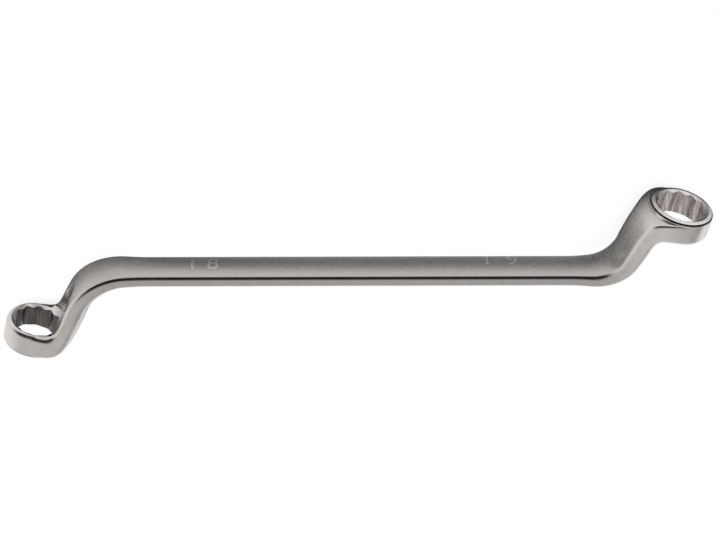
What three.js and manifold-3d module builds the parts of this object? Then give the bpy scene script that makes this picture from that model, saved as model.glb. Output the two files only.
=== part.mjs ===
// An offset ring spanner: one drop forging, bent into an S, with a twelve-point ring at each end.
//
// Millimetres, +Z up. X runs along the shank towards the larger ring, Y is the way that ring is offset
// from the shank, and Z is the width of the shank: the tool lies on its side.

import * as THREE from 'three';
import { mergeVertices } from 'three/addons/utils/BufferGeometryUtils.js';
import Module from 'manifold-3d';

// The rings: distance between their centres along the shank, and what each one measures.
const RING_SPACING = 271.7;
const RING_TILT = 13.0; // degrees that the ring axes lean away from square to the shank
const RING_TOP_RADIUS = 1.0; // rounding of the rim on the free face
const RING_FOOT_RADIUS = 3.1; // rounding of the rim on the face that looks at the shank

const LARGE_ACROSS_FLATS = 19;
const LARGE_RING_DIAMETER = 27.2;
const LARGE_RING_HEIGHT = 11.4;
const LARGE_RING_OFFSET = 27.8; // from the shank's centre line to the middle of the ring
const LARGE_BEND_RADIUS = 17.9; // centre line of the bend from shank to neck

const SMALL_ACROSS_FLATS = 18;
const SMALL_RING_DIAMETER = 25.9;
const SMALL_RING_HEIGHT = 11.2;
const SMALL_RING_OFFSET = 30.7;
const SMALL_BEND_RADIUS = 24.6;

// The shank: a flat bar with crowned broad faces and a ground band along each narrow side.
const SHANK_WIDTH = 16.7;
const SHANK_CROWN = 2.1; // rise of each broad face above the edges of the bands
const SHANK_BAND = 3.8;
const SHANK_EDGE_RADIUS = 1.2;

// The necks: steep, and flared until they are as wide as the rings they carry.
const NECK_ANGLE = 64.8; // degrees between the neck and the shank
const NECK_INSET = 3.4; // the neck's centre line meets the ring's mid plane this far inside its wall
const NECK_ROOT_LENGTH = 11.5; // the last stretch of the neck, as wide as the ring, which turns into it
const NECK_FREE_CROWN = 3.9; // rise of the face on the ring's free side
const NECK_FOOT_CROWN = 0.4; // rise of the face that looks across the socket
const NECK_BAND = 6.0;
const NECK_EDGE_RADIUS = 2.2;
const FLARE_LEAD = 9.9; // length of shank, before the bend, over which the flare starts
const ROOT_FULLNESS_NECK = 1.7; // pull of the neck's direction on the root's curves
const ROOT_FULLNESS_RING = 1.9; // pull of the ring's direction on them
const ROOT_WRAP = 75; // degrees round the ring, from its tip, where the root's sides touch its wall
const ROOT_STEP = 1.5; // the ring's free face stands this far above the neck's shoulder
const ROOT_INSET = 0.02; // the root's end stays this far inside the ring

// The sockets: two hexagons turned by 30 degrees, with relieved points and a conical mouth at each face.
const SOCKET_POINTS = 12;
const SOCKET_CLEARANCE = 0.15; // added to the nominal size across flats
const POINT_RELIEF = 0.22; // taken off the outer points
const MOUTH_MARGIN = 0.45; // the mouth's radius beyond the outer points
const MOUTH_ANGLE = 62; // degrees between the mouth's cone and the ring's axis
const SPOT_MARGIN = 1.9; // the neck is cut back to this far outside the mouth
const SPOT_DEPTH = 0.15; // cut into the forged face
const OVERCUT = 1; // how far each cutter starts outside the metal
const MOUTH_LIP = 0.03; // the mouth's cone starts this far outside the face

// Facets
const FACE_STEPS = 5;
const EDGE_STEPS = 3;
const BAND_STEPS = 2;
const BEND_STEPS = 9;
const NECK_STEPS = 3;
const ROOT_STEPS = 12;
const ROUND_STEPS = 4;
const RING_FACETS = 60;
const WELD_DISTANCE = 1e-4;

const RAD = Math.PI / 180;
const wasm = await Module();
wasm.setup();

// Turns a closed three.js geometry into a solid that can be joined and cut.
function solid(geometry) {
  const bare = geometry.clone();
  bare.deleteAttribute('normal');
  bare.deleteAttribute('uv');
  const welded = mergeVertices(bare, WELD_DISTANCE);
  const index = welded.index.array;
  const corners = [];
  for (let i = 0; i < index.length; i += 3) {
    const [a, b, c] = [index[i], index[i + 1], index[i + 2]];
    if (a !== b && b !== c && c !== a) corners.push(a, b, c);
  }
  const vertProperties = new Float32Array(welded.attributes.position.array);
  const triVerts = new Uint32Array(corners);
  return new wasm.Manifold(new wasm.Mesh({ numProp: 3, vertProperties, triVerts }));
}

// Turns a solid back into a three.js geometry.
function geometryOf(body) {
  const mesh = body.getMesh();
  const geometry = new THREE.BufferGeometry();
  geometry.setAttribute('position', new THREE.BufferAttribute(mesh.vertProperties, 3));
  geometry.setIndex(new THREE.BufferAttribute(mesh.triVerts, 1));
  geometry.computeVertexNormals();
  return geometry;
}

// Eases from 0 to 1 with no slope at either end.
function ease(x) {
  return THREE.MathUtils.smoothstep(x, 0, 1);
}

// Half of a section's girth, from the middle of the free face, over the side, to the middle of the face
// that looks at the shank. Each point has the stretch that it lies on and how far along that it is.
function halfGirth() {
  const points = [];
  const stretch = (name, steps, last) => {
    for (let i = 0; i < steps + last; i++) points.push({ name, along: i / steps });
  };
  stretch('freeFace', FACE_STEPS, 0);
  stretch('freeEdge', EDGE_STEPS, 0);
  stretch('band', BAND_STEPS, 0);
  stretch('footEdge', EDGE_STEPS, 0);
  stretch('footFace', FACE_STEPS, 1);
  return points;
}
const GIRTH = halfGirth();

// One half-section of the bar: half-widths w and heights h. The sides are flat bands with rounded
// edges, and the broad faces rise from the band to a crown in the middle.
function barSection(width, band, freeCrown, footCrown, radius) {
  const [a, e] = [width / 2, band / 2];
  return GIRTH.map(({ name, along }) => {
    const turn = (along * Math.PI) / 2;
    const w = {
      freeFace: (a - radius) * along,
      freeEdge: a - radius + radius * Math.sin(turn),
      band: a,
      footEdge: a - radius + radius * Math.cos(turn),
      footFace: (a - radius) * (1 - along),
    }[name];
    const h = {
      freeFace: e,
      freeEdge: e - radius + radius * Math.cos(turn),
      band: (e - radius) * (1 - 2 * along),
      footEdge: -(e - radius) - radius * Math.sin(turn),
      footFace: -e,
    }[name];
    const rise = (h > 0 ? freeCrown : footCrown) / e;
    return { w, h: h * (1 + rise * (1 - (w / a) ** 2)) };
  });
}

// The ring's outline at the place where the neck's root runs into it: each point of the girth has its
// distance from the axis, its height on the axis, and how far out it lies on the chord across the face.
function ringSection(end) {
  const radius = end.ringDiameter / 2 - ROOT_INSET;
  const top = end.ringHeight / 2 - ROOT_STEP;
  const foot = -end.ringHeight / 2 + SPOT_DEPTH + ROOT_INSET;
  const [free, low] = [RING_TOP_RADIUS, RING_FOOT_RADIUS];
  return GIRTH.map(({ name, along }) => {
    const turn = (along * Math.PI) / 2;
    return {
      freeFace: { r: radius - free, z: top, out: along },
      freeEdge: { r: radius - free + free * Math.sin(turn), z: top - free + free * Math.cos(turn), out: 1 },
      band: { r: radius, z: THREE.MathUtils.lerp(top - free, foot + low, along), out: 1 },
      footEdge: { r: radius - low + low * Math.cos(turn), z: foot + low - low * Math.sin(turn), out: 1 },
      footFace: { r: radius - low, z: foot, out: 1 - along },
    }[name];
  });
}

// The directions and points that lay out one end, in a frame with x along the shank and y to the ring.
function layOut(end) {
  const [neck, tilt] = [NECK_ANGLE * RAD, RING_TILT * RAD];
  const centre = new THREE.Vector3(RING_SPACING / 2, end.ringOffset, 0);
  const ringWay = new THREE.Vector3(Math.cos(tilt), -Math.sin(tilt), 0);
  const ringAxis = new THREE.Vector3(Math.sin(tilt), Math.cos(tilt), 0);
  const neckWay = new THREE.Vector3(Math.cos(neck), Math.sin(neck), 0);
  const meet = centre.clone().addScaledVector(ringWay, NECK_INSET - end.ringDiameter / 2);
  const corner = meet.clone().addScaledVector(neckWay, -meet.y / neckWay.y);
  const reach = end.bendRadius * Math.tan(neck / 2);
  const bendStart = corner.clone().setX(corner.x - reach);
  const bendEnd = corner.clone().addScaledVector(neckWay, reach);
  const root = meet.clone().addScaledVector(neckWay, -NECK_ROOT_LENGTH);
  return { neck, centre, ringWay, ringAxis, neckWay, bendStart, bendEnd, root };
}

// The stations of one half of the bar, from the middle of the shank to the inside of the ring. Each one
// is a half-girth of points: sections along shank, bend and neck, and then the root, whose lines leave
// along the neck and arrive along the ring's faces and round its wall (cubic Hermite curves).
function barStations(end) {
  const at = layOut(end);
  const bendLength = end.bendRadius * at.neck;
  const neckLength = at.bendEnd.distanceTo(at.root);
  const flareLength = FLARE_LEAD + bendLength + neckLength;
  const section = (point, angle, travel) => {
    const t = ease((travel + FLARE_LEAD) / flareLength);
    const across = new THREE.Vector3(-Math.sin(angle), Math.cos(angle), 0);
    const half = barSection(
      THREE.MathUtils.lerp(SHANK_WIDTH, end.ringDiameter, t),
      THREE.MathUtils.lerp(SHANK_BAND, NECK_BAND, t),
      THREE.MathUtils.lerp(SHANK_CROWN, NECK_FREE_CROWN, t),
      THREE.MathUtils.lerp(SHANK_CROWN, NECK_FOOT_CROWN, t),
      THREE.MathUtils.lerp(SHANK_EDGE_RADIUS, NECK_EDGE_RADIUS, t),
    );
    return half.map(({ w, h }) => point.clone().addScaledVector(across, h).setZ(w));
  };

  const stations = [section(new THREE.Vector3(), 0, -at.bendStart.x)];
  stations.push(section(at.bendStart.clone().setX(at.bendStart.x - FLARE_LEAD), 0, -FLARE_LEAD));
  stations.push(section(at.bendStart.clone().setX(at.bendStart.x - FLARE_LEAD / 2), 0, -FLARE_LEAD / 2));
  for (let i = 0; i < BEND_STEPS; i++) {
    const angle = (at.neck * i) / BEND_STEPS;
    const along = new THREE.Vector3(Math.sin(angle), 1 - Math.cos(angle), 0);
    const point = at.bendStart.clone().addScaledVector(along, end.bendRadius);
    stations.push(section(point, angle, end.bendRadius * angle));
  }
  for (let i = 0; i <= NECK_STEPS; i++) {
    const point = at.bendEnd.clone().lerp(at.root, i / NECK_STEPS);
    stations.push(section(point, at.neck, bendLength + (neckLength * i) / NECK_STEPS));
  }

  const wrap = ROOT_WRAP * RAD;
  const start = stations[stations.length - 1];
  const finish = ringSection(end).map(({ r, z, out }) => {
    const point = at.centre.clone().addScaledVector(at.ringWay, r * Math.cos(wrap));
    return point.addScaledVector(at.ringAxis, z).setZ(r * Math.sin(wrap) * out);
  });
  const arrive = ringSection(end).map(({ out }) => {
    const way = at.ringWay.clone().multiplyScalar(Math.sin(wrap));
    return way.setZ(-Math.cos(wrap) * out).normalize();
  });
  for (let i = 1; i <= ROOT_STEPS; i++) {
    const t = i / ROOT_STEPS;
    stations.push(start.map((from, j) => {
      const span = from.distanceTo(finish[j]);
      return from.clone().multiplyScalar(2 * t ** 3 - 3 * t ** 2 + 1)
        .addScaledVector(finish[j], 3 * t ** 2 - 2 * t ** 3)
        .addScaledVector(at.neckWay, span * ROOT_FULLNESS_NECK * (t ** 3 - 2 * t ** 2 + t))
        .addScaledVector(arrive[j], span * ROOT_FULLNESS_RING * (t ** 3 - t ** 2));
    }));
  }
  return stations;
}

// Skins the whole bar: a closed grid over all stations, with a fan over each end inside the rings.
function skinBar(stations) {
  const around = stations.map((half) => {
    const back = half.slice(1, -1).reverse().map((p) => new THREE.Vector3(p.x, p.y, -p.z));
    return [...half, ...back];
  });
  const count = around[0].length;
  const points = around.flat();
  const index = [];
  for (let i = 0; i + 1 < around.length; i++) {
    for (let j = 0; j < count; j++) {
      const next = (j + 1) % count;
      const [a, b] = [i * count + j, i * count + next];
      index.push(a, b, a + count, b, b + count, a + count);
    }
  }
  for (const [row, flip] of [[0, true], [around.length - 1, false]]) {
    const middle = points.length;
    const sum = around[row].reduce((total, p) => total.add(p), new THREE.Vector3());
    points.push(sum.divideScalar(count));
    for (let j = 0; j < count; j++) {
      const [a, b] = [row * count + j, row * count + ((j + 1) % count)];
      if (flip) index.push(middle, b, a);
      else index.push(middle, a, b);
    }
  }
  const geometry = new THREE.BufferGeometry().setFromPoints(points);
  geometry.setIndex(index);
  return geometry;
}

// A solid drawn round or along its own Y axis, moved on to the ring's axis.
function onRing(geometry, end) {
  const { centre } = layOut(end);
  return geometry.rotateZ(-RING_TILT * RAD).translate(centre.x, centre.y, 0);
}

// The ring's forged drum, with rounded rims.
function ringDrum(end) {
  const [radius, half] = [end.ringDiameter / 2, end.ringHeight / 2];
  const profile = [new THREE.Vector2(0, -half)];
  for (let i = 0; i <= ROUND_STEPS; i++) {
    const turn = (i / ROUND_STEPS) * (Math.PI / 2);
    const [x, y] = [RING_FOOT_RADIUS * Math.sin(turn), RING_FOOT_RADIUS * (1 - Math.cos(turn))];
    profile.push(new THREE.Vector2(radius - RING_FOOT_RADIUS + x, y - half));
  }
  for (let i = 0; i <= ROUND_STEPS; i++) {
    const turn = (i / ROUND_STEPS) * (Math.PI / 2);
    const [x, y] = [RING_TOP_RADIUS * Math.cos(turn), RING_TOP_RADIUS * (Math.sin(turn) - 1)];
    profile.push(new THREE.Vector2(radius - RING_TOP_RADIUS + x, half + y));
  }
  profile.push(new THREE.Vector2(0, half));
  return onRing(new THREE.LatheGeometry(profile, RING_FACETS), end);
}

// Radii of one socket: its outer points, its inner points and its conical mouth.
function socketRadii(end) {
  const flat = (end.acrossFlats + SOCKET_CLEARANCE) / 2;
  const outer = flat / Math.cos(Math.PI / 6);
  const inner = flat / Math.cos(Math.PI / SOCKET_POINTS);
  return { flat, outer, inner, mouth: outer + MOUTH_MARGIN };
}

// The twelve-point bore: the flanks of two hexagons, with each outer point cut off by its relief.
function socketCutter(end) {
  const { flat, outer, inner } = socketRadii(end);
  const relieved = outer - POINT_RELIEF;
  const pitch = (2 * Math.PI) / SOCKET_POINTS;
  const reliefTurn = Math.PI / 6 - Math.acos(flat / relieved);
  const shape = new THREE.Shape();
  for (let i = 0; i < SOCKET_POINTS; i++) {
    const point = i * pitch;
    const polar = (r, turn) => [r * Math.cos(turn), r * Math.sin(turn)];
    const first = polar(inner, point - pitch / 2);
    if (i === 0) shape.moveTo(...first);
    else shape.lineTo(...first);
    shape.lineTo(...polar(relieved, point - reliefTurn));
    shape.lineTo(...polar(relieved, point + reliefTurn));
  }
  const depth = end.ringHeight + 2 * OVERCUT;
  const geometry = new THREE.ExtrudeGeometry(shape, { depth, bevelEnabled: false });
  return onRing(geometry.translate(0, 0, -depth / 2).rotateX(-Math.PI / 2), end);
}

// How far the tip of a mouth's cone lies below its face.
function mouthDepth(end) {
  const { mouth, inner } = socketRadii(end);
  return (mouth - inner) / Math.tan(MOUTH_ANGLE * RAD) + OVERCUT;
}

// The conical mouth at the free face.
function freeMouthCutter(end) {
  const { mouth } = socketRadii(end);
  const slope = Math.tan(MOUTH_ANGLE * RAD);
  const tip = mouthDepth(end);
  const length = tip + MOUTH_LIP;
  const cone = new THREE.CylinderGeometry(mouth + MOUTH_LIP * slope, mouth - tip * slope, length, RING_FACETS);
  return onRing(cone.translate(0, end.ringHeight / 2 + MOUTH_LIP - length / 2, 0), end);
}

// The conical mouth at the face that looks at the shank. The cone runs on into the neck, and a round wall
// goes up from its edge, so that the neck's root is hollowed to clear a nut or a driver.
function footMouthCutter(end) {
  const { mouth } = socketRadii(end);
  const slope = Math.tan(MOUTH_ANGLE * RAD);
  const tip = mouthDepth(end);
  const face = -end.ringHeight / 2 + SPOT_DEPTH;
  const profile = [
    new THREE.Vector2(0, face - end.ringOffset),
    new THREE.Vector2(mouth + SPOT_MARGIN, face - end.ringOffset),
    new THREE.Vector2(mouth + SPOT_MARGIN, face - SPOT_MARGIN / slope),
    new THREE.Vector2(mouth - tip * slope, face + tip),
    new THREE.Vector2(0, face + tip),
  ];
  return onRing(new THREE.LatheGeometry(profile, RING_FACETS), end);
}

const LARGE_END = {
  acrossFlats: LARGE_ACROSS_FLATS,
  ringDiameter: LARGE_RING_DIAMETER,
  ringHeight: LARGE_RING_HEIGHT,
  ringOffset: LARGE_RING_OFFSET,
  bendRadius: LARGE_BEND_RADIUS,
};
const SMALL_END = {
  acrossFlats: SMALL_ACROSS_FLATS,
  ringDiameter: SMALL_RING_DIAMETER,
  ringHeight: SMALL_RING_HEIGHT,
  ringOffset: SMALL_RING_OFFSET,
  bendRadius: SMALL_BEND_RADIUS,
};

// The small end is drawn like the large one and turned over about Z. Its free face is then on the other
// side of the shank, so its half-girths run the other way to meet those of the large end.
function turnOver(geometry) {
  return geometry.rotateZ(Math.PI);
}
const smallStations = barStations(SMALL_END).slice(1).reverse().map((half) => {
  return half.map((p) => new THREE.Vector3(-p.x, -p.y, p.z)).reverse();
});

let forging = solid(skinBar([...smallStations, ...barStations(LARGE_END)]));
forging = forging.add(solid(ringDrum(LARGE_END)));
forging = forging.add(solid(turnOver(ringDrum(SMALL_END))));
for (const [end, place] of [[LARGE_END, (g) => g], [SMALL_END, turnOver]]) {
  for (const cutter of [footMouthCutter(end), freeMouthCutter(end), socketCutter(end)]) {
    forging = forging.subtract(solid(place(cutter)));
  }
}

// Satin chrome plate over the whole forging, which is set down with its box centred over the origin.
const chromePlate = new THREE.MeshStandardMaterial({ color: 0xa9a5a2, roughness: 0.32, metalness: 1 });
const spanner = new THREE.Mesh(geometryOf(forging), chromePlate);
spanner.name = 'ring_spanner_forging';
spanner.geometry.computeBoundingBox();
const { min, max } = spanner.geometry.boundingBox;
spanner.position.set(-(min.x + max.x) / 2, -(min.y + max.y) / 2, -min.z);

const offsetRingSpanner = new THREE.Group();
offsetRingSpanner.add(spanner);

export default offsetRingSpanner;
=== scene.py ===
import math

import bmesh
import bpy
import numpy as np
from bpy.props import FloatProperty, FloatVectorProperty, PointerProperty
from mathutils import Matrix, Vector


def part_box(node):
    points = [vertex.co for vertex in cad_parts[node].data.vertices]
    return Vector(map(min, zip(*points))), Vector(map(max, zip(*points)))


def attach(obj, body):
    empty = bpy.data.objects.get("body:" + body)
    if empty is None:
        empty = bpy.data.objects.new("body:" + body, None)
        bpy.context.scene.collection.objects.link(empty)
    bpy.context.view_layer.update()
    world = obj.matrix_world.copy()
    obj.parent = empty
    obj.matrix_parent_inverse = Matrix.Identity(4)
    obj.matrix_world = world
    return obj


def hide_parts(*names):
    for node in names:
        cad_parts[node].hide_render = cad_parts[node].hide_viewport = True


bl_info = {
    "name": "Offset Ring Spanner",
    "version": (1, 0, 0),
    "blender": (4, 5, 0),
    "location": "3D View > Sidebar > Spanner",
    "description": "Builds an offset ring spanner in satin chrome, and a plain stage to look at it on",
    "category": "Add Mesh",
}

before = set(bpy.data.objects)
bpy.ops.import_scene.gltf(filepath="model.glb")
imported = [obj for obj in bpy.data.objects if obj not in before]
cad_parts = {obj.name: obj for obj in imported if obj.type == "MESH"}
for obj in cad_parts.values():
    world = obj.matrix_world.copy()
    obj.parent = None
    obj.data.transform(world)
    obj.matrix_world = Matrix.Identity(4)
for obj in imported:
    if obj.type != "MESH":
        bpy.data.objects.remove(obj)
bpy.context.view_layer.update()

FORGING_NODE = "ring_spanner_forging"
BODY = "root"
MM = 0.001
PHOTO_WIDTH = 716  # pixels


def length(label, millimetres, words):
    """A length property: its label, its default in millimetres and its description."""
    return FloatProperty(
        name=label, description=words, default=millimetres * MM, unit="LENGTH", precision=5)


def angle(label, degrees, words):
    """An angle property with its default in degrees."""
    return FloatProperty(name=label, description=words, default=math.radians(degrees), subtype="ANGLE")


def ratio(label, value, words):
    """A plain number property."""
    return FloatProperty(name=label, description=words, default=value)


def linear(hex_colour):
    """Linear RGBA from an sRGB hex value such as "a9a5a2": each channel c goes to c / 12.92 where it is at
    most 0.04045, and to ((c + 0.055) / 1.055) ** 2.4 above that."""
    c = np.array([int(hex_colour[i:i + 2], 16) for i in (0, 2, 4)]) / 255
    c = np.where(c <= 0.04045, c / 12.92, ((c + 0.055) / 1.055) ** 2.4)
    return (*c.tolist(), 1.0)


def colour(label, hex_colour, words):
    """A colour property with its default as an sRGB hex value."""
    return FloatVectorProperty(
        name=label, description=words, default=linear(hex_colour), size=4, subtype="COLOR", min=0, max=1)


class LargeEnd(bpy.types.PropertyGroup):
    """What the end at +X measures."""

    across_flats: length("Across flats", 19, "Size of nut that the socket takes")
    ring_diameter: length("Ring diameter", 27.2, "Outside of the ring")
    ring_height: length("Ring height", 11.4, "Depth of the ring along its axis")
    ring_offset: length("Ring offset", 27.8, "From the shank's centre line to the middle of the ring")
    bend_radius: length("Bend radius", 17.9, "Centre line of the bend from shank to neck")


class SmallEnd(bpy.types.PropertyGroup):
    """What the end at -X measures."""

    across_flats: length("Across flats", 18, "Size of nut that the socket takes")
    ring_diameter: length("Ring diameter", 25.9, "Outside of the ring")
    ring_height: length("Ring height", 11.2, "Depth of the ring along its axis")
    ring_offset: length("Ring offset", 30.7, "From the shank's centre line to the middle of the ring")
    bend_radius: length("Bend radius", 24.6, "Centre line of the bend from shank to neck")


class SpannerSizes(bpy.types.PropertyGroup):
    """Sizes that both ends share."""

    large: PointerProperty(type=LargeEnd, name="Large end", description="The end at +X")
    small: PointerProperty(type=SmallEnd, name="Small end", description="The end at -X")
    ring_spacing: length("Ring spacing", 271.7, "Distance between the ring centres along the shank")
    ring_tilt: angle("Ring tilt", 13.0, "Lean of the ring axes away from square to the shank")
    rim_top: length("Free rim radius", 0.9, "Rounding of the rim on the free face")
    rim_foot: length("Foot rim radius", 2.4, "Rounding of the rim on the face that looks at the shank")
    rim_slope: angle("Rim slope", 17, "Fall of the ring's faces from the mouth to the rim's rounding")
    shank_width: length("Shank width", 16.7, "Across the broad face")
    shank_band: length("Shank band", 3.8, "Height of the narrow side")
    shank_crown: length("Shank crown", 2.1, "Rise of each broad face above the edges of the bands")
    shank_edge: length("Shank edge radius", 1.2, "Rounding between broad face and narrow side")
    neck_angle: angle("Neck angle", 64.8, "Between the neck and the shank")
    neck_inset: length("Neck inset", 3.4, "How far inside the ring's wall the neck's centre line ends")
    root_length: length("Root length", 11.5, "Last stretch of the neck, which turns into the ring")
    neck_band: length("Neck band", 6.0, "Height of the narrow side where the root begins")
    neck_free_crown: length("Neck free crown", 3.9, "Rise of the face on the ring's free side")
    neck_foot_crown: length("Neck foot crown", 0.4, "Rise of the face that looks across the socket")
    neck_edge: length("Neck edge radius", 2.2, "Rounding of the neck's edges")
    flare_lead: length("Flare lead", 9.9, "Stretch of shank before the bend, where the flare starts")
    fullness_neck: ratio("Root fullness at the neck", 1.7, "Pull of the neck's way on the root's curves")
    fullness_ring: ratio("Root fullness at the ring", 1.9, "Pull of the ring's way on the root's curves")
    root_wrap: angle("Root wrap", 75, "Angle round the ring, from its tip, where the root ends")
    root_step: length("Root step", 1.5, "The ring's free face stands this far above the neck's shoulder")
    root_inset: length("Root inset", 0.004, "The root's end stays this far inside the ring")
    socket_clearance: length("Socket clearance", 0.15, "Added to the size across flats")
    point_relief: length("Point relief", 0.22, "Taken off the socket's outer points")
    mouth_margin: length("Mouth margin", 0.45, "Radius of the mouth beyond the outer points")
    mouth_angle: angle("Mouth angle", 62, "Between the mouth's cone and the ring's axis")
    spot_margin: length("Spot margin", 1.9, "How far outside the foot's mouth the neck's root is hollowed")
    spot_depth: length("Spot depth", 0.15, "How deep the foot's mouth is sunk into the forged face")
    overcut: length("Overcut", 1, "How far each cutter starts outside the metal")


class SpannerFinish(bpy.types.PropertyGroup):
    """Colours of the finishes."""

    plate: colour("Chrome plate", "c4c0bd", "Satin chrome on the forged skin")
    bright: colour("Bright chrome", "e6e4e2", "Chrome over the turned mouths and faces")
    bore: colour("Bore", "a39d9a", "Chrome over the broached flutes")
    # painted reflection: the rim colour paints a dark line on the free rim's rounding, where chrome mirrors
    # dark surroundings
    rim: colour("Rim", "3a3634", "Burnished edge between the turned face and the ring's wall")
    floor: colour("Floor", "f2f2f2", "The pale floor")


class SpannerMarks(bpy.types.PropertyGroup):
    """The raised size figures on the shank."""

    height: length("Figure height", 7.5, "Across the shank")
    relief: length("Relief", 0.1, "How far the figures stand above the face")
    small_one: length("Small end, first figure", -67.4, "Place along the shank")
    small_eight: length("Small end, second figure", -58.8, "Place along the shank")
    large_one: length("Large end, first figure", 56.8, "Place along the shank")
    large_nine: length("Large end, second figure", 67.4, "Place along the shank")
    large_drop: length("Large end drop", 2.2, "How far the large end's figures lie below the face's middle")
    shank_place: FloatVectorProperty(
        name="Shank place", description="Where the forging puts the shank's middle", size=3,
        subtype="TRANSLATION", unit="LENGTH")


class StageSettings(bpy.types.PropertyGroup):
    """Where the camera stands and how bright the studio is."""

    camera_tilt: angle("Camera tilt", 36.22, "Of the line of sight from straight down, towards +Y")
    camera_roll: angle("Camera roll", -0.16, "Turn of the picture about the line of sight")
    camera_distance: length("Camera distance", 1075, "From the point that the camera looks at")
    pixels_per_mm: ratio("Pixels per millimetre", 2.37, "Scale of the picture")
    tent_level: ratio("Tent level", 0.78, "Brightness of the pale tent")
    card_level: ratio("Card level", 0.02, "Brightness of the black card behind the camera")
    panel_level: ratio("Panel level", 0.3, "What the panel at -X adds to the tent")
    lamp_power: ratio("Window power", 29, "Watts of the window lamp, which lights matt surfaces")
    lamp_place: FloatVectorProperty(
        name="Window place", description="Where the window lamp stands", size=3,
        default=(-0.38, -1.25, 0.92), subtype="TRANSLATION", unit="LENGTH")
    look_at: FloatVectorProperty(
        name="Look at", description="Point in the middle of the picture", size=3,
        default=(2.40 * MM, 1.97 * MM, 14.86 * MM), subtype="TRANSLATION", unit="LENGTH")


def ease(x):
    """Smoothstep: 3x^2 - 2x^3 between 0 and 1, flat outside."""
    x = np.clip(x, 0, 1)
    return x * x * (3 - 2 * x)


GIRTH_STEPS = 22, 8, 6, 8, 22  # free face, free edge, band, foot edge, foot face


def half_girth():
    """The points of half a section's girth, from the middle of the free face, over the side, to the middle
    of the face that looks at the shank: a mask of the points on each stretch, and each point's place along
    its stretch (0 to 1)."""
    stretch = np.repeat(np.arange(len(GIRTH_STEPS)), GIRTH_STEPS)
    stretch = np.append(stretch, stretch[-1])
    along = np.concatenate([*(np.arange(n) / n for n in GIRTH_STEPS), [1.0]])
    return [stretch == k for k in range(len(GIRTH_STEPS))], along


def bar_section(width, band, free_crown, foot_crown, radius):
    """Half-sections (w, h) of the bar, one row for each station. The side is a flat band of height 2e whose
    edges are quarter circles, and the height is then multiplied by a parabolic crown,
    1 + (rise / e)(1 - (w / a)^2), with a half the width and a rise of its own for each broad face."""
    stretches, along = half_girth()
    a, e, r = (width / 2)[:, None], (band / 2)[:, None], radius[:, None]
    turn = along * math.pi / 2
    w = np.select(stretches, [(a - r) * along, a - r + r * np.sin(turn), a + 0 * along,
                              a - r + r * np.cos(turn), (a - r) * (1 - along)])
    h = np.select(stretches, [e + 0 * along, e - r + r * np.cos(turn), (e - r) * (1 - 2 * along),
                              -(e - r) - r * np.sin(turn), -e + 0 * along])
    rise = np.where(h > 0, free_crown[:, None], foot_crown[:, None])
    return w, h * (1 + rise / e * (1 - (w / a) ** 2))


def ring_section(s, end):
    """Where each line of the girth runs into the ring: distance from the ring's axis, height on the axis,
    and how far out it lies on the chord across the face (1 at the wall, 0 in the middle of the width)."""
    stretches, along = half_girth()
    turn = along * math.pi / 2
    radius = end.ring_diameter / 2 - s.root_inset
    top = end.ring_height / 2 - s.root_step
    foot = -end.ring_height / 2 + s.spot_depth + s.root_inset
    free, low = s.rim_top, s.rim_foot
    r = np.select(stretches, [radius - free + 0 * along, radius - free + free * np.sin(turn),
                              radius + 0 * along, radius - low + low * np.cos(turn),
                              radius - low + 0 * along])
    z = np.select(stretches, [top + 0 * along, top - free + free * np.cos(turn),
                              top - free + (foot + low - top + free) * along,
                              foot + low - low * np.sin(turn), foot + 0 * along])
    out = np.select(stretches, [along, 1, 1, 1, 1 - along])
    return r, z, out


def lay_out(s, end):
    """Points and directions of one end, as (x, y) with x along the shank and y towards the ring."""
    centre = np.array([s.ring_spacing / 2, end.ring_offset])
    ring_way = np.array([math.cos(s.ring_tilt), -math.sin(s.ring_tilt)])
    ring_axis = np.array([math.sin(s.ring_tilt), math.cos(s.ring_tilt)])
    neck_way = np.array([math.cos(s.neck_angle), math.sin(s.neck_angle)])
    meet = centre + ring_way * (s.neck_inset - end.ring_diameter / 2)
    corner = meet - neck_way * meet[1] / neck_way[1]
    reach = end.bend_radius * math.tan(s.neck_angle / 2)
    bend_start = corner - np.array([reach, 0])
    neck_length = np.linalg.norm(meet - corner) - reach - s.root_length
    return centre, ring_way, ring_axis, neck_way, bend_start, neck_length


LEAD_STEPS, BEND_STEPS, NECK_STEPS, ROOT_STEPS = 10, 36, 14, 44
SHANK_STEPS = 12


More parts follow.
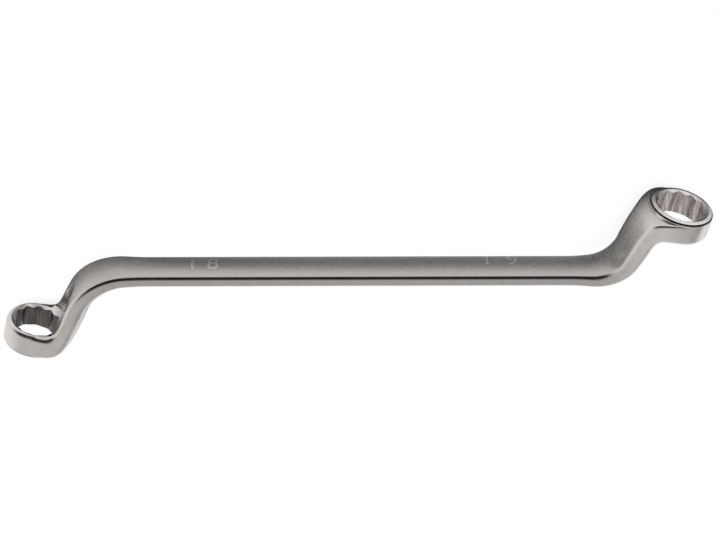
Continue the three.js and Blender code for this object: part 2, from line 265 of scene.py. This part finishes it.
def bar_half(s, end):
    """One half of the bar as a grid of points, stations by half-girth. The centre line is a function of the
    travel t from the start of the bend:
    bend_start + min(t, 0) x + R (sin a, 1 - cos a) + max(t - L, 0) neck_way,
    with a = t / R held between 0 and the neck angle and L the length of the arc. Section sizes ease from
    shank to neck. The root is a cubic Hermite bridge from the last section to the ring's wall."""
    centre, ring_way, ring_axis, neck_way, bend_start, neck_length = lay_out(s, end)
    arc = end.bend_radius * s.neck_angle
    t = np.concatenate([
        np.linspace(-bend_start[0], -s.flare_lead, SHANK_STEPS, endpoint=False),
        np.linspace(-s.flare_lead, 0, LEAD_STEPS, endpoint=False),
        np.linspace(0, arc, BEND_STEPS, endpoint=False),
        np.linspace(arc, arc + neck_length, NECK_STEPS + 1)])
    a = np.clip(t / end.bend_radius, 0, s.neck_angle)
    line = (bend_start + np.outer(np.minimum(t, 0), (1, 0))
            + end.bend_radius * np.stack([np.sin(a), 1 - np.cos(a)], -1)
            + np.outer(np.maximum(t - arc, 0), neck_way))
    flare = ease((t + s.flare_lead) / (s.flare_lead + arc + neck_length))
    shank = np.array([s.shank_width, s.shank_band, s.shank_crown, s.shank_crown, s.shank_edge])
    neck = np.array([end.ring_diameter, s.neck_band, s.neck_free_crown, s.neck_foot_crown, s.neck_edge])
    w, h = bar_section(*(shank[:, None] + np.outer(neck - shank, flare)))
    across = np.stack([-np.sin(a), np.cos(a)], -1)
    bar = np.concatenate([line[:, None] + h[..., None] * across[:, None], w[..., None]], -1)

    r, z, out = ring_section(s, end)
    wrap_cos, wrap_sin = math.cos(s.root_wrap), math.sin(s.root_wrap)
    flat = centre + np.outer(r * wrap_cos, ring_way) + np.outer(z, ring_axis)
    finish = np.column_stack([flat, r * wrap_sin * out])
    arrive = np.column_stack([wrap_sin * np.tile(ring_way, (len(r), 1)), -wrap_cos * out])
    arrive /= np.linalg.norm(arrive, axis=1, keepdims=True)
    leave = np.append(neck_way, 0)
    start = bar[-1]
    span = np.linalg.norm(finish - start, axis=1, keepdims=True)
    u = np.linspace(0, 1, ROOT_STEPS + 1)[1:, None, None]
    root = ((2 * u**3 - 3 * u**2 + 1) * start + (3 * u**2 - 2 * u**3) * finish
            + (u**3 - 2 * u**2 + u) * s.fullness_neck * span * leave
            + (u**3 - u**2) * s.fullness_ring * span * arrive)
    return np.concatenate([bar, root])


def turned_over(points):
    """Half a turn about Z."""
    return points * np.array([-1, -1, 1])


def tube_faces(rows, columns):
    """Quads of a grid of rows whose columns close on themselves, wound so that a row's order and the way to
    the next row make an outward face by the right-hand rule."""
    i, j = np.meshgrid(np.arange(rows - 1), np.arange(columns), indexing="ij")
    a, b = i * columns + j, i * columns + (j + 1) % columns
    return np.stack([a, b, b + columns, a + columns], -1).reshape(-1, 4)


def capped_tube(name, grid):
    """A closed mesh object from a grid of rings: the tube's quads and one face over each end."""
    rows, columns = grid.shape[:2]
    faces = tube_faces(rows, columns).tolist()
    first = np.arange(columns)
    faces += [first[::-1].tolist(), (first + (rows - 1) * columns).tolist()]
    mesh = bpy.data.meshes.new(name)
    mesh.from_pydata(grid.reshape(-1, 3).tolist(), [], faces)
    mesh.validate()
    made = bpy.data.objects.new(name, mesh)
    bpy.context.scene.collection.objects.link(made)
    return made


def whole_bar(s):
    """The grid of the whole bar, small end to large end. The small end is turned over, so its half-girths
    and its stations run the other way. The other half of each girth is its mirror image in z."""
    small = turned_over(bar_half(s, s.small))[:0:-1, ::-1]
    half = np.concatenate([small, bar_half(s, s.large)])
    back = half[:, -2:0:-1] * np.array([1, 1, -1])
    return np.concatenate([half, back], 1)


RING_STEPS = 192
ROUND_STEPS = 10


def on_ring(s, end, p, z, out):
    """Points from ring coordinates: p along the ring's mid plane away from the shank, z along its axis away
    from the shank, and out along Z."""
    centre, ring_way, ring_axis = lay_out(s, end)[:3]
    flat = centre + p[..., None] * ring_way + z[..., None] * ring_axis
    return np.concatenate([flat, out[..., None]], -1)


def revolved(s, end, radius, height):
    """The grid of a profile (radius, height) carried round the ring's axis."""
    theta = np.arange(RING_STEPS) * 2 * math.pi / RING_STEPS
    p = np.multiply.outer(radius, np.cos(theta))
    out = -np.multiply.outer(radius, np.sin(theta))
    z = np.multiply.outer(height, np.ones(RING_STEPS))
    return on_ring(s, end, p, z, out)


SOCKET_POINTS = 12
PITCH = 2 * math.pi / SOCKET_POINTS


def socket_radii(s, end):
    """Half the size across flats with its clearance, and the radii of the outer points and of the mouth."""
    flat = (end.across_flats + s.socket_clearance) / 2
    outer = flat / math.cos(PITCH)
    return flat, outer, outer + s.mouth_margin


def rim_profile(s, end, radius):
    """One rim as (distance from the axis, fall below the face) from the mouth outwards: a cone of slope A
    that runs into an arc from A to 90 degrees, tangent to the cone and to the wall."""
    centre = end.ring_diameter / 2 - radius
    mouth = socket_radii(s, end)[-1]
    turn = np.linspace(s.rim_slope, math.pi / 2, ROUND_STEPS + 1)
    r = centre + radius * np.sin(turn)
    fall = (r[0] - mouth) * math.tan(s.rim_slope) + radius * (math.cos(s.rim_slope) - np.cos(turn))
    return np.append(mouth, r), np.append(0, fall)


def drum_grid(s, end):
    """The ring's forged drum, from the foot face up: a cylinder whose rims are rounded, and whose faces
    fall away from the mouth to the rims as shallow cones."""
    half = end.ring_height / 2
    middle = socket_radii(s, end)[-1] - s.overcut
    foot_r, foot_fall = rim_profile(s, end, s.rim_foot)
    free_r, free_fall = rim_profile(s, end, s.rim_top)
    r = np.concatenate([[middle], foot_r, free_r[::-1], [middle]])
    z = np.concatenate([[-half], foot_fall - half, half - free_fall[::-1], [half]])
    return revolved(s, end, r, z)


FLANK_STEPS, TIP_STEPS, WALL_STEPS, CONE_STEPS = 8, 2, 12, 4


def socket_grid(s, end):
    """The socket with its mouths and the hollow in the neck's root, as one closed cutter. Round the axis,
    the radius is that of two hexagons turned by 30 degrees, flat / cos(angle from the nearest flat's
    middle), cut off at the relieved points. Along the axis each line runs from the hollow down the foot
    mouth's cone until it meets that radius, along the bore, and out up the free mouth's cone."""
    flat, outer, mouth = socket_radii(s, end)
    relieved = outer - s.point_relief
    corner = math.acos(flat / relieved)
    flank = np.linspace(PITCH / 2, corner, FLANK_STEPS, endpoint=False)
    tip = np.linspace(corner, 2 * PITCH - corner, TIP_STEPS + 1)
    tooth = np.concatenate([flank, tip, (2 * PITCH - flank)[:0:-1]])
    tooth_radius = np.minimum(flat / np.cos(np.minimum(tooth, 2 * PITCH - tooth)), relieved)
    theta = (tooth - PITCH + PITCH * np.arange(SOCKET_POINTS)[:, None]).ravel()
    bore = np.tile(tooth_radius, SOCKET_POINTS)

    half = end.ring_height / 2
    slope = math.tan(s.mouth_angle)
    foot, free = -half + s.spot_depth, half
    foot_deep, free_deep = foot + (mouth - bore) / slope, free - (mouth - bore) / slope
    down = np.linspace(0, 1, CONE_STEPS + 1)[:, None]
    along = np.linspace(0, 1, WALL_STEPS + 1)[1:-1, None]
    whole = np.ones((1, len(bore)))
    z = np.concatenate([(foot - end.ring_offset) * whole, (foot - s.spot_margin / slope) * whole,
                        foot + down * (foot_deep - foot), foot_deep + along * (free_deep - foot_deep),
                        free + down[::-1] * (free_deep - free), (free + s.overcut) * whole])
    r = np.concatenate([(mouth + s.spot_margin) * whole, (mouth + s.spot_margin) * whole,
                        mouth + down * (bore - mouth), bore + 0 * along,
                        mouth + down[::-1] * (bore - mouth), (mouth + s.overcut * slope) * whole])
    return on_ring(s, end, r * np.cos(theta), z, -r * np.sin(theta))


def combine(body, tool, operation):
    """Joins the tool to the body or cuts it away, and removes the tool."""
    step = body.modifiers.new(operation, "BOOLEAN")
    step.operation, step.solver, step.object = operation, "MANIFOLD", tool
    done = bpy.data.meshes.new_from_object(body.evaluated_get(bpy.context.evaluated_depsgraph_get()))
    body.modifiers.clear()
    body.data = done
    bpy.data.objects.remove(tool)


def node(tree, kind, inputs=None, **settings):
    """Adds a node and returns its outputs. Settings are the node's own fields. Each input is either the
    output of another node, which is linked, or a constant."""
    made = tree.nodes.new(kind)
    for field, value in settings.items():
        setattr(made, field, value)
    for socket, value in (inputs or {}).items():
        if isinstance(value, bpy.types.NodeSocket):
            tree.links.new(value, made.inputs[socket])
        else:
            made.inputs[socket].default_value = value
    return made.outputs


def mapped(source, seen, given=(0.0, 1.0)):
    """The inputs that make a node map one range of values, seen, to another, given."""
    return {"Value": source, "From Min": seen[0], "From Max": seen[1],
            "To Min": given[0], "To Max": given[1]}


def new_material(name):
    """An empty node material and its tree."""
    made = bpy.data.materials.new(name)
    made.use_nodes = True
    made.node_tree.nodes.clear()
    return made, made.node_tree


NOISE_DETAIL = 3.0
NOISE_RANGE = 0.3, 0.7  # holds nearly all of the noise's values


def grain(tree, size, turn=0.0, stretch=1.0):
    """Noise with features of about the given size in metres. It can be stretched along the Y axis of a
    frame turned about Z, so that it becomes streaks."""
    place = node(tree, "ShaderNodeTexCoord")["Object"]
    turned = node(tree, "ShaderNodeMapping", {
        "Vector": place, "Rotation": (0, 0, turn), "Scale": (1, 1 / stretch, 1)})["Vector"]
    noise = {"Vector": turned, "Scale": 1 / size, "Detail": NOISE_DETAIL}
    return node(tree, "ShaderNodeTexNoise", noise)["Fac"]


def along_shank(tree, places, values, either_way=False):
    """Eases from the first value to the second between two places along the shank. The places are counted
    towards +X, or either way from the middle."""
    place = node(tree, "ShaderNodeTexCoord")["Object"]
    x = node(tree, "ShaderNodeSeparateXYZ", {0: place})["X"]
    if either_way:
        x = node(tree, "ShaderNodeMath", {0: x}, operation="ABSOLUTE")[0]
    eased = node(tree, "ShaderNodeMapRange", mapped(x, places, values), interpolation_type="SMOOTHSTEP")
    return eased["Result"]


def chrome(tree, base, noise, tone, roughness, relief, depth, gain=1.0, matting=0.0):
    """A chrome shader in the tree. The noise varies the base colour over tone and the roughness over its
    range. Gain multiplies the colour, matting adds to the roughness, and relief makes a bump of the given
    depth."""
    shade = node(tree, "ShaderNodeMapRange", mapped(noise, NOISE_RANGE, tone))["Result"]
    shade = node(tree, "ShaderNodeMath", {0: shade, 1: gain}, operation="MULTIPLY")[0]
    tint = node(tree, "ShaderNodeVectorMath", {0: base[:3], "Scale": shade}, operation="SCALE")["Vector"]
    rough = node(tree, "ShaderNodeMapRange", mapped(noise, NOISE_RANGE, roughness))["Result"]
    rough = node(tree, "ShaderNodeMath", {0: rough, 1: matting}, operation="ADD")[0]
    bump = node(tree, "ShaderNodeBump", {"Strength": 1.0, "Distance": depth, "Height": relief})["Normal"]
    shader = node(tree, "ShaderNodeBsdfPrincipled", {
        "Metallic": 1.0, "Base Color": tint, "Roughness": rough, "Normal": bump})["BSDF"]
    node(tree, "ShaderNodeOutputMaterial", {"Surface": shader})


BLAST_CLOUDS = 3 * MM  # uneven passes of the blasting
BLAST_PITS = 0.16 * MM  # its grit
HANDLING = 1.5 * MM  # patches that polishing and use leave
TURNING_MARKS = 0.1 * MM  # feed of the turning tool
BROACH_STREAKS, BROACH_SCORES = 0.7 * MM, 0.4 * MM  # across the flutes
STREAK_STRETCH, SCORE_STRETCH = 30, 40
HEADS = 100 * MM, 128 * MM  # distances from the middle, between which a head begins
BARE_SHANK = -60 * MM, 60 * MM  # a stretch with no socket in it


def satin_chrome(finish):
    """Satin chrome plate over a blasted forging: soft broad reflections, a fine even grain and a faint
    mottle. The heads and necks are blasted harder than the shank, so they are more matt; their colour is
    also painted paler as painted light, and the larger end is painted the palest."""
    made, tree = new_material("satin_chrome_plate")
    # painted light: the heads' and necks' colour is raised, most at the larger end, in place of the light
    # they catch
    heads_painted_light = along_shank(tree, HEADS, (0.96, 1.28), either_way=True)
    large_head_painted_light = along_shank(tree, HEADS, (1.0, 1.13))
    chrome(tree, finish.plate, grain(tree, BLAST_CLOUDS), tone=(0.95, 1.05), roughness=(0.19, 0.26),
           relief=grain(tree, BLAST_PITS), depth=0.002 * MM,
           gain=node(tree, "ShaderNodeMath", {0: heads_painted_light, 1: large_head_painted_light}, operation="MULTIPLY")[0],
           matting=along_shank(tree, HEADS, (0.0, 0.07), either_way=True))
    return made


def turned_chrome(finish):
    """Polished chrome over turned cones and faces: bright and nearly sharp reflections."""
    made, tree = new_material("turned_chrome")
    chrome(tree, finish.bright, grain(tree, HANDLING), tone=(0.97, 1.03), roughness=(0.1, 0.16),
           relief=grain(tree, TURNING_MARKS), depth=0.001 * MM)
    return made


def rim_painted_reflection(finish):
    """The rounding of the free rim in a dark colour: a painted reflection of dark surroundings, seen as a
    dark glossy line round the ring."""
    made, tree = new_material("rim_painted_reflection")
    chrome(tree, finish.rim, grain(tree, HANDLING), tone=(0.8, 1.2), roughness=(0.14, 0.2),
           relief=grain(tree, BLAST_PITS), depth=0.001 * MM)
    return made


def worn_chrome(finish):
    """Chrome worn smooth over the raised figures: a little brighter than the plate round them."""
    made, tree = new_material("worn_chrome")
    chrome(tree, finish.bright, grain(tree, HANDLING), tone=(0.95, 1.05), roughness=(0.2, 0.28),
           relief=grain(tree, BLAST_PITS), depth=0.002 * MM)
    return made


def broached_chrome(finish, tilt):
    """Thin chrome in the broached flutes, with the broach's streaks along the ring's axis. Its colour is
    painted darker in the smaller socket as painted shade, and brighter in the larger one as painted light."""
    made, tree = new_material("broached_chrome")
    # painted shade and light: the gain darkens the flutes of the small end and brightens those of the large
    # end
    chrome(tree, finish.bore, grain(tree, BROACH_STREAKS, tilt, STREAK_STRETCH),
           tone=(0.4, 1.3), roughness=(0.18, 0.34),
           relief=grain(tree, BROACH_SCORES, tilt, SCORE_STRETCH), depth=0.03 * MM,
           gain=along_shank(tree, BARE_SHANK, (0.48, 2.0)))
    return made


PLATE, TURNED, BROACHED, PAINTED_REFLECTION_RIM = range(4)
OPEN_EDGE = 0.02 * MM  # faces this near a limit of radius count as beyond it
CONE_LEAN = 0.02  # how far a normal may stray from that of a cone or a flute
RIM_LEAN = 0.08, 0.945  # share of the normal along the ring's axis, over the rounding of the free rim


def finish_faces(mesh, s, shift):
    """Gives each face the index of its finish from where it lies on its ring: the turned cones and free
    faces, the broached flutes, the free rims' rounding with its painted dark reflection, and the plate
    elsewhere. Shift is how far the mesh was moved after it was laid out."""
    count = len(mesh.polygons)
    middle, normal = np.empty(count * 3), np.empty(count * 3)
    mesh.polygons.foreach_get("center", middle)
    mesh.polygons.foreach_get("normal", normal)
    middle, normal = middle.reshape(-1, 3) - shift, normal.reshape(-1, 3)
    index = np.full(count, PLATE, dtype=np.int32)
    for end, way in ((s.large, 1), (s.small, -1)):
        centre, ring_way, ring_axis = (way * v for v in lay_out(s, end)[:3])
        from_centre = middle[:, :2] - centre
        height = from_centre @ ring_axis
        radius = np.hypot(from_centre @ ring_way, middle[:, 2])
        lean = normal[:, :2] @ ring_axis
        mouth = socket_radii(s, end)[-1]
        half = end.ring_height / 2
        inside = (radius < mouth + s.spot_margin + OPEN_EDGE) & (np.abs(height) < half + s.spot_margin)
        cone = inside & (np.abs(np.abs(lean) - math.sin(s.mouth_angle)) < CONE_LEAN)
        wall = end.ring_diameter / 2 - OPEN_EDGE
        top = (radius > mouth) & (radius < wall) & (height > half - s.root_step)
        face = top & (lean > RIM_LEAN[1])
        edge = top & (lean > RIM_LEAN[0]) & (lean < RIM_LEAN[1])
        flute = (radius < mouth) & (np.abs(lean) < CONE_LEAN) & (np.abs(height) < half)
        index[cone | face] = TURNED
        # painted reflection: the free rim's rounding gets the dark rim colour
        index[edge] = PAINTED_REFLECTION_RIM
        index[flute] = BROACHED
    mesh.polygons.foreach_set("material_index", index)


SHARP_ANGLE = math.radians(28)


class SPANNER_OT_forging(bpy.types.Operator):
    """Builds the forging: the bent bar joined to its two drums, with a socket cut through each"""

    bl_idname = "spanner.forging"
    bl_label = "Forging"

    def execute(self, context):
        s, finish = context.scene.spanner_sizes, context.scene.spanner_finish
        forging = capped_tube("forging", whole_bar(s))
        for end, place in ((s.large, np.copy), (s.small, turned_over)):
            combine(forging, capped_tube("drum", place(drum_grid(s, end))), "UNION")
            combine(forging, capped_tube("socket", place(socket_grid(s, end))), "DIFFERENCE")
        points = np.empty(len(forging.data.vertices) * 3)
        forging.data.vertices.foreach_get("co", points)
        points = points.reshape(-1, 3)
        # The forging is laid out round the shank's middle, then its box is centred on that of the CAD node.
        low, high = (np.array(corner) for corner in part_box(FORGING_NODE))
        shift = (low + high) / 2 - (points.min(0) + points.max(0)) / 2
        points += shift
        forging.data.vertices.foreach_set("co", points.ravel())
        forging.data.shade_smooth()
        forging.data.set_sharp_from_angle(angle=SHARP_ANGLE)
        forging.data.materials.clear()
        for made in (satin_chrome(finish), turned_chrome(finish), broached_chrome(finish, s.ring_tilt),
                     rim_painted_reflection(finish)):
            forging.data.materials.append(made)
        finish_faces(forging.data, s, shift)
        context.scene.spanner_marks.shank_place = shift
        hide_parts(FORGING_NODE)
        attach(forging, BODY)
        return {"FINISHED"}


CONTACT_REACH, CONTACT_OPENNESS, CONTACT_TONES = 14 * MM, (0.1, 0.6), (0.8, 1.0)
SHADOW_REACH, SHADOW_OPENNESS, SHADOW_TONES = 90 * MM, (0.69, 0.93), (0.05, 0.95)
SHADOW_SIDE = {"X": -0.62, "Y": -0.56, "Z": 0.55}  # towards the light that casts it
CONTACT_SAMPLES, SHADOW_SAMPLES = 16, 8


def pale_floor(finish):
    """A white floor. Straight rays see it plain white with a faint contact shadow. The tool mirrors it
    white too, with the deep soft shadow that lies close to the tool."""
    made, tree = new_material("pale_floor")
    ray = node(tree, "ShaderNodeLightPath")
    near = node(tree, "ShaderNodeAmbientOcclusion", {"Distance": CONTACT_REACH},
                samples=CONTACT_SAMPLES)["AO"]
    faint = node(tree, "ShaderNodeMapRange", mapped(near, CONTACT_OPENNESS, CONTACT_TONES))["Result"]
    side = node(tree, "ShaderNodeCombineXYZ", SHADOW_SIDE)[0]
    under = node(tree, "ShaderNodeAmbientOcclusion", {"Distance": SHADOW_REACH, "Normal": side},
                 samples=SHADOW_SAMPLES)["AO"]
    deep = node(tree, "ShaderNodeMapRange", mapped(under, SHADOW_OPENNESS, SHADOW_TONES))["Result"]
    shown = ray["Is Camera Ray"]
    strength = node(tree, "ShaderNodeMix", {0: shown, 2: deep, 3: faint}, data_type="FLOAT")[0]
    white = node(tree, "ShaderNodeEmission", {"Strength": strength})[0]
    matt = node(tree, "ShaderNodeBsdfDiffuse", {"Color": finish.floor})[0]
    for kind in ("Is Glossy Ray", "Is Transmission Ray"):
        shown = node(tree, "ShaderNodeMath", {0: shown, 1: ray[kind]}, operation="MAXIMUM")[0]
    both = node(tree, "ShaderNodeMixShader", {0: shown, 1: matt, 2: white})[0]
    node(tree, "ShaderNodeOutputMaterial", {"Surface": both})
    return made


CARD_TOP = math.radians(2), math.radians(36)  # angles from overhead towards +Y
CARD_FOOT = math.radians(88), math.radians(80)
CARD_LEFT, CARD_RIGHT = (-0.92, -0.78), (0.75, 0.5)  # shares of the direction along X
PANEL_EDGE = -0.7, -0.95
DIM_SIDE, DIM_TONES = (0.1, 0.9), (1.0, 0.5)


def studio(stage):
    """A pale tent that dims towards +X, with a brighter panel at -X and a black card behind the camera,
    from overhead down to just above the floor. Every edge is soft: it fades from the first of its two
    values to the second. Straight rays see plain white."""
    world = bpy.data.worlds.new("studio")
    world.use_nodes = True
    tree = world.node_tree
    tree.nodes.clear()
    soft = {"interpolation_type": "SMOOTHSTEP"}
    way = node(tree, "ShaderNodeTexCoord")["Generated"]
    x, y, z = node(tree, "ShaderNodeSeparateXYZ", {0: way})
    polar = node(tree, "ShaderNodeMath", {0: y, 1: z}, operation="ARCTAN2")[0]
    card = 1.0
    for source, edge in ((polar, CARD_TOP), (polar, CARD_FOOT), (x, CARD_LEFT), (x, CARD_RIGHT)):
        inside = node(tree, "ShaderNodeMapRange", mapped(source, edge), **soft)["Result"]
        card = node(tree, "ShaderNodeMath", {0: card, 1: inside}, operation="MULTIPLY")[0]
    tent_levels, panel_levels = (stage.tent_level, stage.card_level), (0.0, stage.panel_level)
    tent = node(tree, "ShaderNodeMapRange", mapped(card, (0.0, 1.0), tent_levels))["Result"]
    dim = node(tree, "ShaderNodeMapRange", mapped(x, DIM_SIDE, DIM_TONES), **soft)["Result"]
    panel = node(tree, "ShaderNodeMapRange", mapped(x, PANEL_EDGE, panel_levels), **soft)["Result"]
    level = node(tree, "ShaderNodeMath", {0: tent, 1: dim, 2: panel}, operation="MULTIPLY_ADD")[0]
    straight = node(tree, "ShaderNodeLightPath")["Is Camera Ray"]
    shown = node(tree, "ShaderNodeMix", {0: straight, 2: level, 3: 1.0}, data_type="FLOAT")[0]
    light = node(tree, "ShaderNodeBackground", {"Strength": shown})[0]
    node(tree, "ShaderNodeOutputWorld", {"Surface": light})
    return world


CAP_HEIGHT = 0.69  # of the built-in font, as a share of its size
FIGURE_ROUNDS, FIGURE_CUTS = 2, 2
FIGURE_MERGE = 0.001  # of a figure's height


def figure(text, height):
    """One figure as points and triangles, fine enough to bend: x to the right, y up, and z to either flat
    side."""
    curve = bpy.data.curves.new("figure", "FONT")
    curve.body, curve.align_x, curve.align_y = text, "CENTER", "CENTER"
    curve.size, curve.extrude = height / CAP_HEIGHT, height
    holder = bpy.data.objects.new("figure", curve)
    bpy.context.scene.collection.objects.link(holder)
    mesh = bpy.data.meshes.new_from_object(holder.evaluated_get(bpy.context.evaluated_depsgraph_get()))
    work = bmesh.new()
    work.from_mesh(mesh)
    bmesh.ops.remove_doubles(work, verts=work.verts, dist=height * FIGURE_MERGE)
    for _ in range(FIGURE_ROUNDS):
        bmesh.ops.triangulate(work, faces=work.faces)
        flat = [e for e in work.edges if abs(e.verts[0].co.z - e.verts[1].co.z) < height / 2]
        bmesh.ops.subdivide_edges(work, edges=flat, cuts=FIGURE_CUTS, use_grid_fill=True)
    bmesh.ops.triangulate(work, faces=work.faces)
    work.to_mesh(mesh)
    work.free()
    points = np.empty(len(mesh.vertices) * 3)
    corners = np.empty(len(mesh.polygons) * 3, dtype=np.int32)
    mesh.vertices.foreach_get("co", points)
    mesh.polygons.foreach_get("vertices", corners)
    bpy.data.objects.remove(holder)
    bpy.data.curves.remove(curve)
    bpy.data.meshes.remove(mesh)
    return points.reshape(-1, 3), corners.reshape(-1, 3)


class SPANNER_OT_marks(bpy.types.Operator):
    """Builds the raised size figures on the shank's +Y face, shaped to its crown"""

    bl_idname = "spanner.marks"
    bl_label = "Size Marks"

    def execute(self, context):
        s, marks = context.scene.spanner_sizes, context.scene.spanner_marks
        places = (("1", marks.small_one, 0), ("8", marks.small_eight, 0),
                  ("1", marks.large_one, marks.large_drop), ("9", marks.large_nine, marks.large_drop))
        points, faces, count = [], [], 0
        for text, place, drop in places:
            flat, corners = figure(text, marks.height)
            # The face's height at w from its middle is half the band plus crown (1 - (2w / width)^2).
            w = -flat[:, 1] - drop
            skin = s.shank_band / 2 + s.shank_crown * (1 - (2 * w / s.shank_width) ** 2)
            level = skin + np.where(flat[:, 2] > 0, 1, -1) * marks.relief
            x, y, z = place + flat[:, 0], marks.shank_place[1] + level, marks.shank_place[2] + w
            points.append(np.stack([x, y, z], -1))
            faces.append(corners + count)
            count += len(flat)
        mesh = bpy.data.meshes.new("size_marks")
        mesh.from_pydata(np.concatenate(points).tolist(), [], np.concatenate(faces).tolist())
        mesh.validate()
        made = bpy.data.objects.new("size_marks", mesh)
        context.scene.collection.objects.link(made)
        mesh.materials.append(worn_chrome(context.scene.spanner_finish))
        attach(made, BODY)
        return {"FINISHED"}


FLOOR_REACH = 3.0
WINDOW_WIDTH, WINDOW_HEIGHT = 1.0, 0.5
SENSOR = 36  # millimetres


class SPANNER_OT_stage(bpy.types.Operator):
    """Builds the floor, the studio round it, the window lamp and the camera"""

    bl_idname = "spanner.stage"
    bl_label = "Stage"

    def execute(self, context):
        scene = context.scene
        stage, finish = scene.spanner_stage, scene.spanner_finish
        mesh = bpy.data.meshes.new("floor")
        corners = np.array([(-1, -1, 0), (1, -1, 0), (1, 1, 0), (-1, 1, 0)]) * FLOOR_REACH
        mesh.from_pydata(corners.tolist(), [], [(0, 1, 2, 3)])
        floor = bpy.data.objects.new("floor", mesh)
        scene.collection.objects.link(floor)
        mesh.materials.append(pale_floor(finish))
        scene.world = studio(stage)

        lamp = bpy.data.lights.new("window", "AREA")
        lamp.shape, lamp.size, lamp.size_y = "RECTANGLE", WINDOW_WIDTH, WINDOW_HEIGHT
        lamp.energy = stage.lamp_power
        window = bpy.data.objects.new("window", lamp)
        window.location = stage.lamp_place
        window.rotation_euler = (-window.location).to_track_quat("-Z", "Y").to_euler()
        window.visible_glossy = False  # the chrome mirrors the tent, not the lamp
        scene.collection.objects.link(window)

        camera = bpy.data.objects.new("camera", bpy.data.cameras.new("camera"))
        camera.data.sensor_width = SENSOR
        camera.data.lens = SENSOR * stage.pixels_per_mm / MM * stage.camera_distance / PHOTO_WIDTH
        back = Vector((0, math.sin(stage.camera_tilt), math.cos(stage.camera_tilt)))
        right = Vector((1, 0, 0))
        up = back.cross(right)
        turn = Matrix.Rotation(stage.camera_roll, 3, back)
        right, up = turn @ right, turn @ up
        place = Matrix((right, up, back)).transposed().to_4x4()
        place.translation = Vector(stage.look_at) + back * stage.camera_distance
        camera.matrix_world = place
        scene.collection.objects.link(camera)
        scene.camera = camera
        scene.view_settings.view_transform = "Standard"
        return {"FINISHED"}


class SPANNER_PT_sidebar(bpy.types.Panel):
    """Lists the sizes, the colours and the steps"""

    bl_idname = "SPANNER_PT_sidebar"
    bl_label = "Offset Ring Spanner"
    bl_space_type = "VIEW_3D"
    bl_region_type = "UI"
    bl_category = "Spanner"

    def draw(self, context):
        scene = context.scene
        sizes = scene.spanner_sizes
        for group in (sizes.large, sizes.small, sizes, scene.spanner_finish, scene.spanner_marks,
                      scene.spanner_stage):
            box = self.layout.box()
            for field in group.__annotations__:
                if field not in ("large", "small"):
                    box.prop(group, field)
        for step in (SPANNER_OT_forging, SPANNER_OT_marks, SPANNER_OT_stage):
            self.layout.operator(step.bl_idname)


CLASSES = (LargeEnd, SmallEnd, SpannerSizes, SpannerFinish, SpannerMarks, StageSettings, SPANNER_OT_forging,
           SPANNER_OT_marks, SPANNER_OT_stage, SPANNER_PT_sidebar)


def register():
    """Registers the classes and gives the scene their settings."""
    for kind in CLASSES:
        bpy.utils.register_class(kind)
    bpy.types.Scene.spanner_sizes = PointerProperty(type=SpannerSizes)
    bpy.types.Scene.spanner_finish = PointerProperty(type=SpannerFinish)
    bpy.types.Scene.spanner_marks = PointerProperty(type=SpannerMarks)
    bpy.types.Scene.spanner_stage = PointerProperty(type=StageSettings)


def unregister():
    """Takes back what register did."""
    del bpy.types.Scene.spanner_stage
    del bpy.types.Scene.spanner_marks
    del bpy.types.Scene.spanner_finish
    del bpy.types.Scene.spanner_sizes
    for kind in reversed(CLASSES):
        bpy.utils.unregister_class(kind)


def main():
    """Builds the stage and both pieces."""
    register()
    bpy.ops.spanner.stage()
    bpy.ops.spanner.forging()
    bpy.ops.spanner.marks()


if __name__ == "__main__":
    main()
